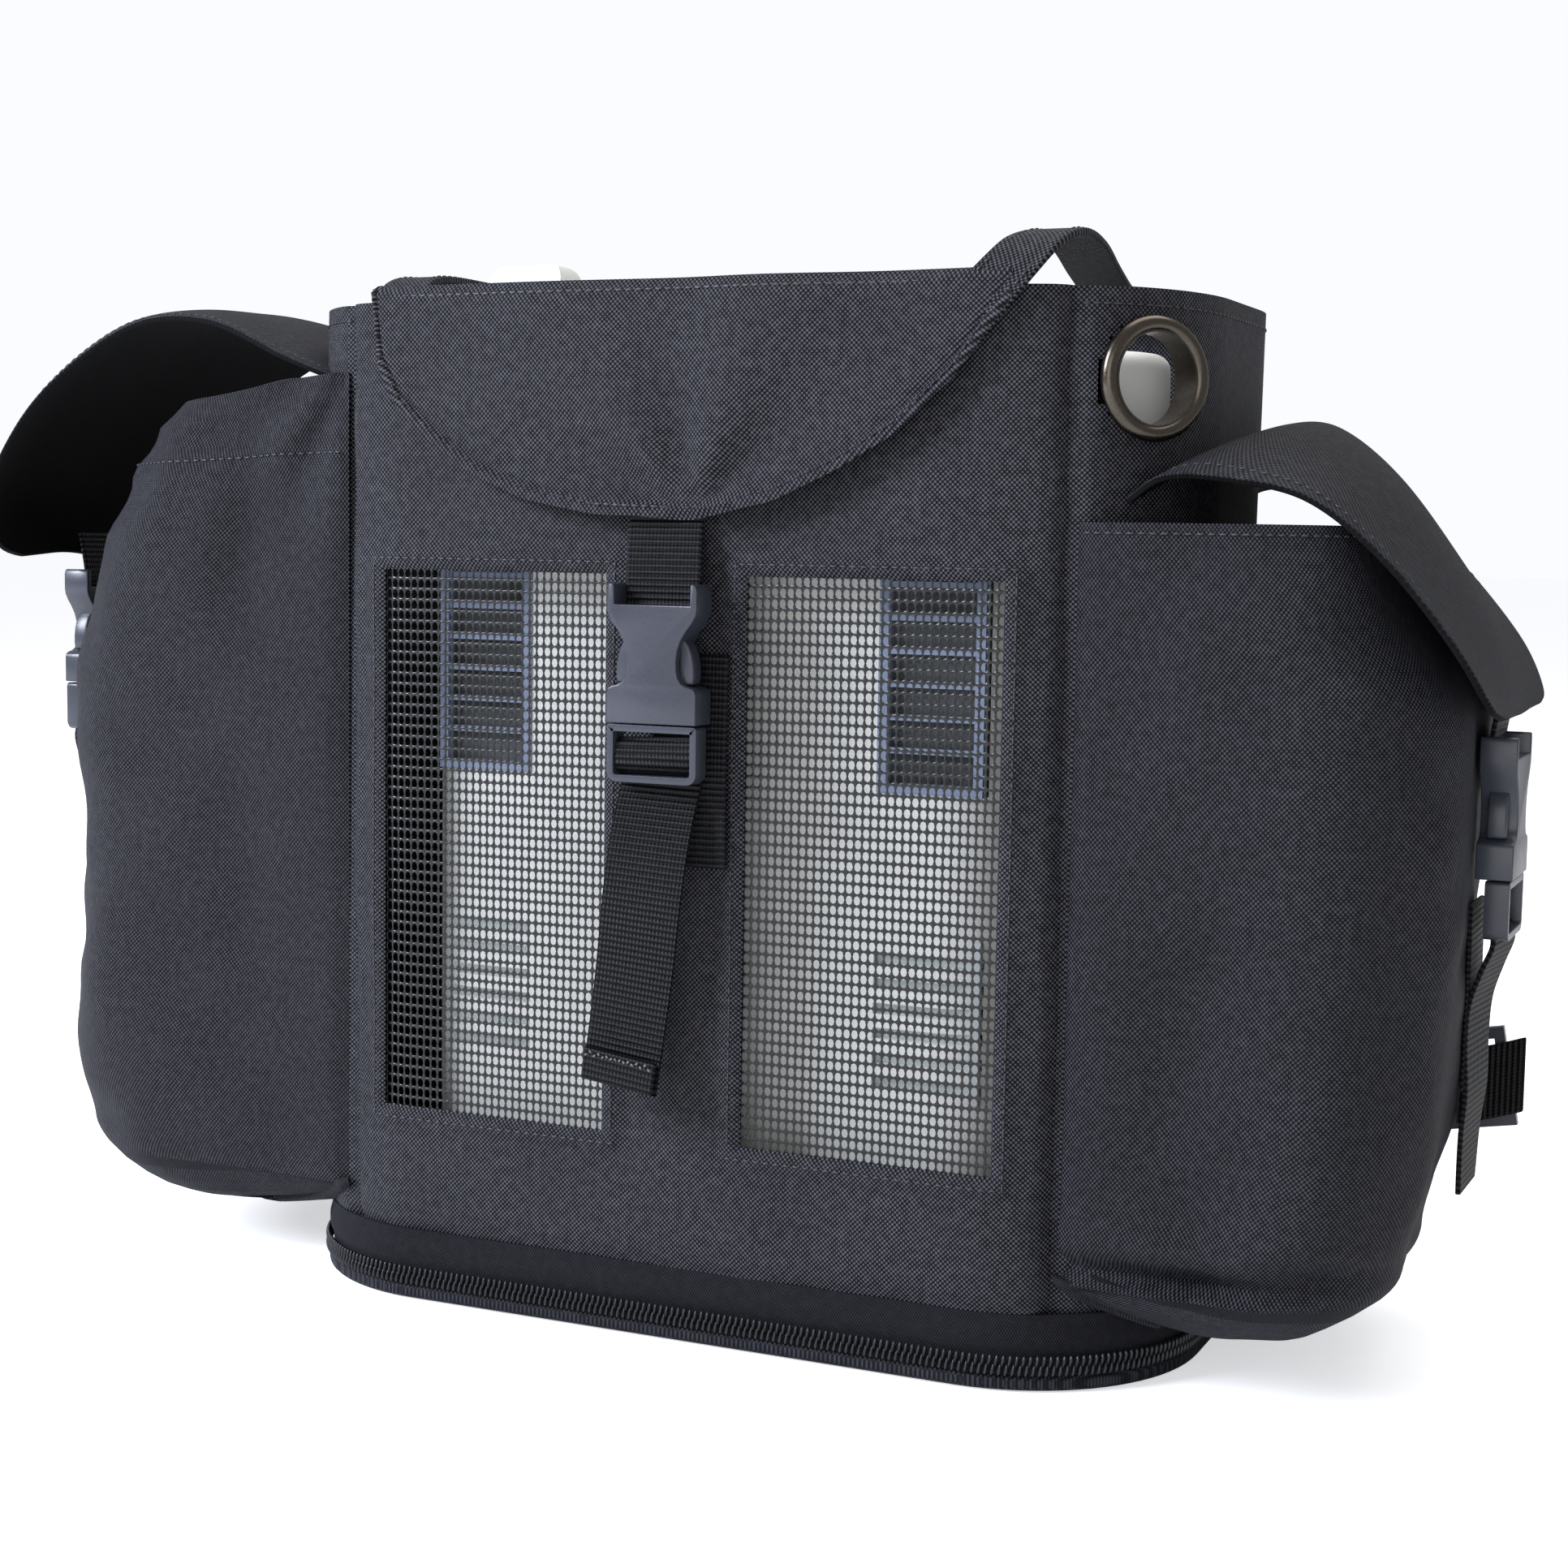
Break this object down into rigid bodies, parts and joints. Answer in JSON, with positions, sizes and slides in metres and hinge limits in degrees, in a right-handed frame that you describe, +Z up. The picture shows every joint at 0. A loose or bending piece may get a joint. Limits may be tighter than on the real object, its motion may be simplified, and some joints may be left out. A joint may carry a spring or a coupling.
{
  "type": "portable oxygen concentrator in carry bag",
  "caption": "Portable oxygen concentrator standing in a padded carry bag with mesh windows, a buckled top cover and end pockets.",
  "frame": {"origin": "on the floor under the middle of the bag's base", "axes": "+Z up, -Y towards the front tongue and mesh windows, +X towards the pocket beside the grommet"},
  "size_m": [0.528, 0.1811, 0.3407],
  "materials": {
    "woven_nylon": "coarse woven nylon, slight bluish sheen",
    "zip_tape": "fine twill tape",
    "zip_nylon": "moulded nylon coil",
    "zinc_slider": "enamelled zinc",
    "coated_mesh": "vinyl-coated mesh",
    "webbing": "ribbed webbing",
    "acetal": "satin moulded acetal",
    "gunmetal": "satin dark nickel plate",
    "housing_plastic": "fine-grained light moulding",
    "grille_plastic": "satin",
    "filter_mesh": "woven filter",
    "panel_plastic": "satin",
    "display_glass": "gloss",
    "button_rubber": "matte",
    "nozzle_metal": "satin",
    "jack_plastic": "satin",
    "cast_case": "matte",
    "vessel_aluminium": "satin",
    "board_laminate": "gloss"
  },
  "bodies": {
    "carrier": {"front_panel": "woven_nylon", "back_panel": "woven_nylon", "side_panel_left": "woven_nylon", "side_panel_right": "woven_nylon", "window_mesh_left": "coated_mesh", "window_mesh_right": "coated_mesh", "zip_tape_band": "zip_tape", "zip_coil": "zip_nylon", "grommet_ring": "gunmetal", "grommet_washer": "gunmetal", "pocket_left": "woven_nylon", "pocket_right": "woven_nylon", "anchor_strap_front": "webbing", "anchor_strap_left": "webbing", "anchor_strap_right": "webbing", "shoulder_pad_left": "woven_nylon", "shoulder_pad_right": "woven_nylon", "lower_shoulder_webbing": "webbing", "strap_sliders": "acetal", "haul_handle": "webbing", "housing_front": "housing_plastic", "housing_rear": "housing_plastic", "filter_frames": "grille_plastic", "air_filters": "filter_mesh", "device_handle": "housing_plastic", "control_panel": "panel_plastic", "display_window": "display_glass", "outlet_nozzle": "nozzle_metal", "dc_inlet": "jack_plastic", "compressor": "cast_case", "sieve_beds": "vessel_aluminium", "circuit_board": "board_laminate"},
    "base": {"base_panel": "woven_nylon"},
    "zip_slider": {"zip_slider": "zinc_slider"},
    "battery": {"battery_pack": "panel_plastic"},
    "fan": {"fan_rotor": "jack_plastic"},
    "cover": {"top_cover": "woven_nylon", "upper_strap_front": "webbing", "buckle_socket_front": "acetal", "buckle_plug_front": "acetal", "tail_strap_front": "webbing"},
    "arm_front_a": {"release_arm_front_a": "acetal"},
    "arm_front_b": {"release_arm_front_b": "acetal"},
    "flap_right": {"pocket_flap_right": "woven_nylon", "upper_strap_right": "webbing", "buckle_socket_right": "acetal", "buckle_plug_right": "acetal", "tail_strap_right": "webbing"},
    "arm_right_a": {"release_arm_right_a": "acetal"},
    "arm_right_b": {"release_arm_right_b": "acetal"},
    "flap_left": {"pocket_flap_left": "woven_nylon", "upper_strap_left": "webbing", "buckle_socket_left": "acetal", "buckle_plug_left": "acetal", "tail_strap_left": "webbing"},
    "arm_left_a": {"release_arm_left_a": "acetal"},
    "arm_left_b": {"release_arm_left_b": "acetal"},
    "flow_down_button": {"flow_down_button": "button_rubber"},
    "power_button": {"power_button": "button_rubber"},
    "flow_up_button": {"flow_up_button": "button_rubber"}
  },
  "joints": [
    {"name": "base_open", "type": "hinge", "parent": "carrier", "child": "base", "pos_m": [0, 0.078, 0.005], "axis": [1, 0, 0], "range_deg": [0, 80]},
    {"name": "zip_run", "type": "slide", "parent": "carrier", "child": "zip_slider", "axis": [0, -1, 0], "range_m": [0, 0.03]},
    {"name": "cover_open", "type": "hinge", "parent": "carrier", "child": "cover", "pos_m": [0, 0.079, 0.327], "axis": [-1, 0, 0], "range_deg": [0, 110]},
    {"name": "flap_right_lift", "type": "hinge", "parent": "carrier", "child": "flap_right", "pos_m": [0.1576, 0, 0.2778], "axis": [0, -1, 0], "range_deg": [0, 65]},
    {"name": "flap_left_lift", "type": "hinge", "parent": "carrier", "child": "flap_left", "pos_m": [-0.1576, 0, 0.3078], "axis": [0, 1, 0], "range_deg": [0, 50]},
    {"name": "battery_lift", "type": "slide", "parent": "carrier", "child": "battery", "axis": [0, 0, 1], "range_m": [0, 0.12]},
    {"name": "fan_spin", "type": "hinge", "parent": "carrier", "child": "fan", "pos_m": [0.027, -0.008, 0.0506], "axis": [1, 0, 0], "continuous": true},
    {"name": "release_front_a", "type": "slide", "parent": "cover", "child": "arm_front_a", "axis": [-1, 0, 0], "range_m": [0, 0.002], "stiffness_N_per_m": 1500},
    {"name": "release_front_b", "type": "slide", "parent": "cover", "child": "arm_front_b", "axis": [1, 0, 0], "range_m": [0, 0.002], "stiffness_N_per_m": 1500},
    {"name": "release_right_a", "type": "slide", "parent": "flap_right", "child": "arm_right_a", "axis": [0, -1, 0], "range_m": [0, 0.002], "stiffness_N_per_m": 1500},
    {"name": "release_right_b", "type": "slide", "parent": "flap_right", "child": "arm_right_b", "axis": [0, 1, 0], "range_m": [0, 0.002], "stiffness_N_per_m": 1500},
    {"name": "release_left_a", "type": "slide", "parent": "flap_left", "child": "arm_left_a", "axis": [0, 1, 0], "range_m": [0, 0.002], "stiffness_N_per_m": 1500},
    {"name": "release_left_b", "type": "slide", "parent": "flap_left", "child": "arm_left_b", "axis": [0, -1, 0], "range_m": [0, 0.002], "stiffness_N_per_m": 1500},
    {"name": "flow_down_press", "type": "slide", "parent": "carrier", "child": "flow_down_button", "axis": [0, 0, -1], "range_m": [0, 0.0012], "stiffness_N_per_m": 900},
    {"name": "power_press", "type": "slide", "parent": "carrier", "child": "power_button", "axis": [0, 0, -1], "range_m": [0, 0.0012], "stiffness_N_per_m": 900},
    {"name": "flow_up_press", "type": "slide", "parent": "carrier", "child": "flow_up_button", "axis": [0, 0, -1], "range_m": [0, 0.0012], "stiffness_N_per_m": 900}
  ],
  "couplings": [
    {"joint": "release_front_b", "follows": "release_front_a", "ratio": 1},
    {"joint": "release_right_b", "follows": "release_right_a", "ratio": 1},
    {"joint": "release_left_b", "follows": "release_left_a", "ratio": 1}
  ]
}
